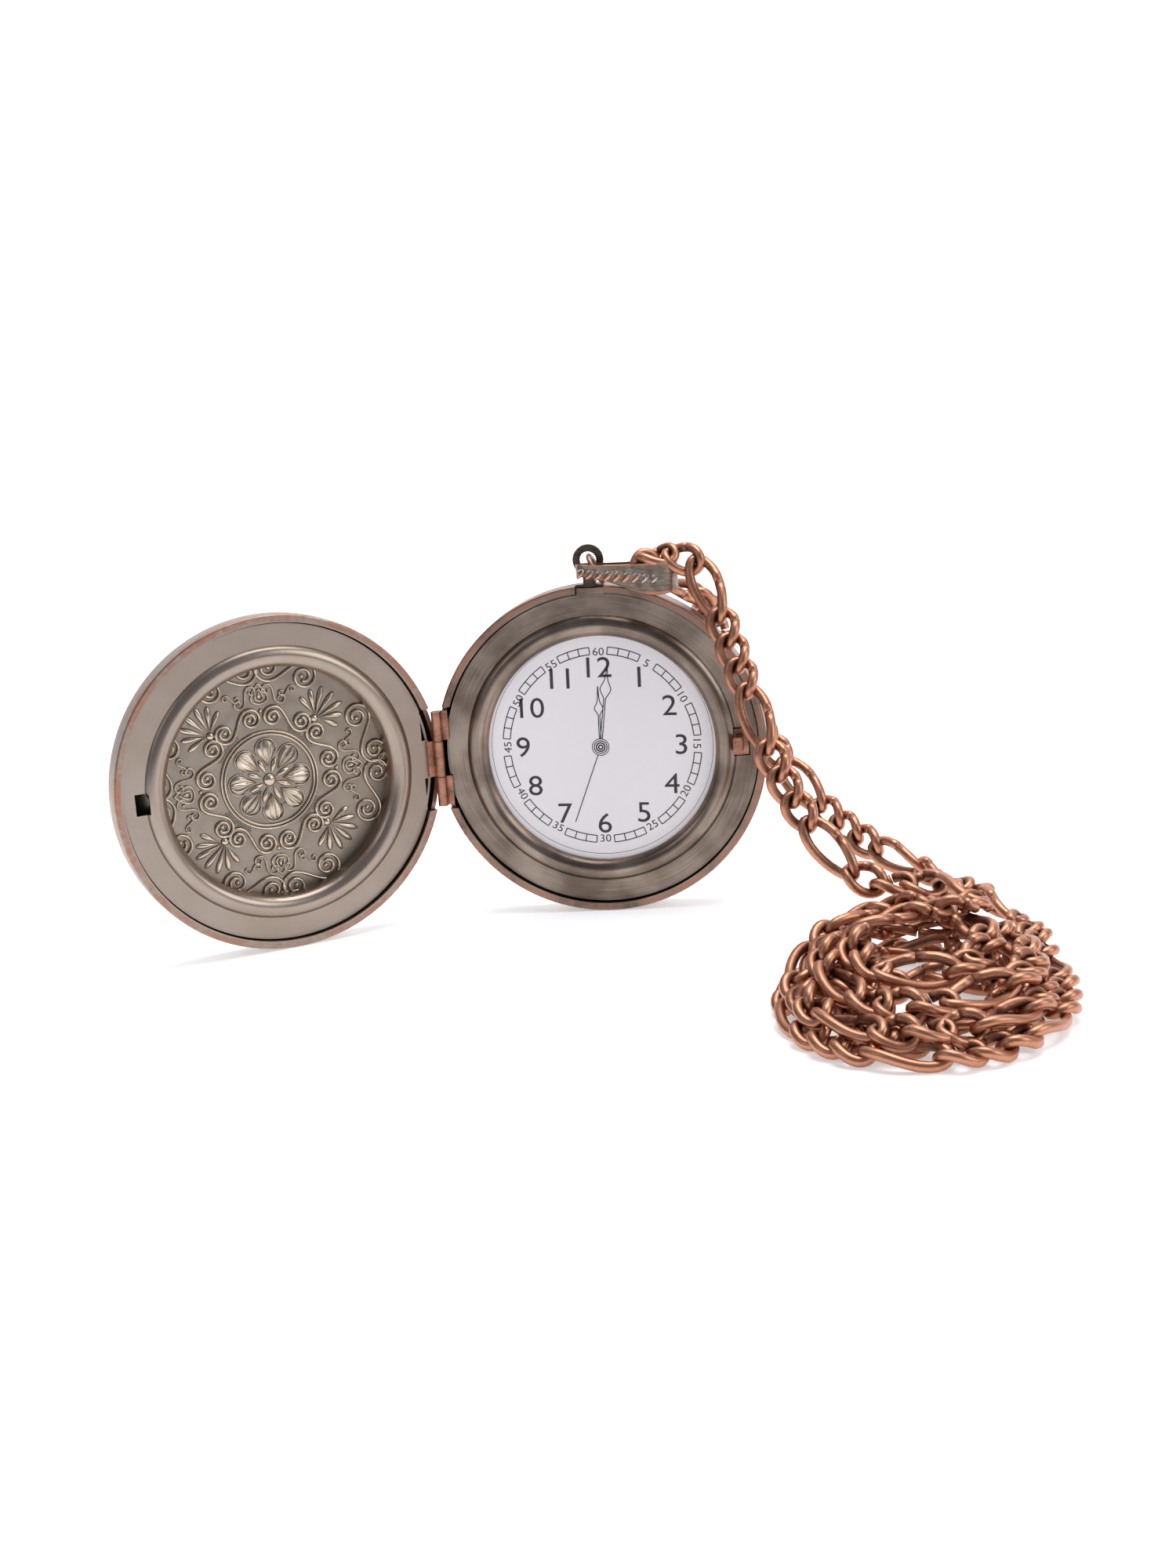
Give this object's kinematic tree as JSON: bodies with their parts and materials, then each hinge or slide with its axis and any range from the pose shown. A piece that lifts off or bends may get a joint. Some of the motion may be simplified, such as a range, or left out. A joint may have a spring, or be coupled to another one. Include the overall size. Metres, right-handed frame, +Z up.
{
  "type": "pocket watch",
  "caption": "Open costume pocket watch in a hinged round case, with a printed dial, an ornamental plate in the lid, a bail and a long neck chain.",
  "frame": {"origin": "middle of the footprint of the open watch, on the surface that it stands on", "axes": "+X along the dial from the hinge towards the latch, +Y from the dial towards the back of the case, +Z up along the hinge pin"},
  "size_m": [0.1287, 0.0856, 0.0537],
  "materials": {
    "antique_copper": "satin antique copper plate",
    "gunmetal": "brushed gunmetal plate",
    "dark_bronze": "dark bronze",
    "pewter": "polished pewter relief",
    "dial_paper": "printed white paper",
    "backing_card": "plain card",
    "chain_copper": "satin copper"
  },
  "bodies": {
    "case": {"back_shell": "antique_copper", "body_liner": "gunmetal", "dial": "dial_paper", "dial_backing": "backing_card", "case_knuckle_upper": "antique_copper", "case_knuckle_lower": "antique_copper", "hinge_pin": "antique_copper", "latch_guide": "gunmetal", "pendant_eye": "dark_bronze", "chain_front": "chain_copper", "chain_back": "chain_copper", "chain_pile": "chain_copper"},
    "lid": {"lid_shell": "antique_copper", "lid_liner": "gunmetal", "lid_knuckle": "antique_copper", "filigree_plate": "pewter"},
    "latch": {"latch_catch": "antique_copper"},
    "jump_ring": {"jump_ring": "dark_bronze"},
    "bail": {"bail": "gunmetal", "bail_rope": "gunmetal"}
  },
  "joints": [
    {"name": "lid_hinge", "type": "hinge", "parent": "case", "child": "lid", "pos_m": [-0.00249, 0.00939, 0.024], "axis": [0, 0, 1], "range_deg": [-1.5, 148.5]},
    {"name": "latch_snap", "type": "slide", "parent": "case", "child": "latch", "axis": [1, 0, 0], "range_m": [0, 0.0003], "stiffness_N_per_m": 400},
    {"name": "ring_swing", "type": "hinge", "parent": "case", "child": "jump_ring", "pos_m": [0.02145, 0.01094, 0.05197], "axis": [0, -1, 0], "range_deg": [0, 10]},
    {"name": "bail_swing", "type": "hinge", "parent": "jump_ring", "child": "bail", "pos_m": [0.0223, 0.00824, 0.05025], "axis": [0, -1, 0], "range_deg": [0, 12]}
  ]
}
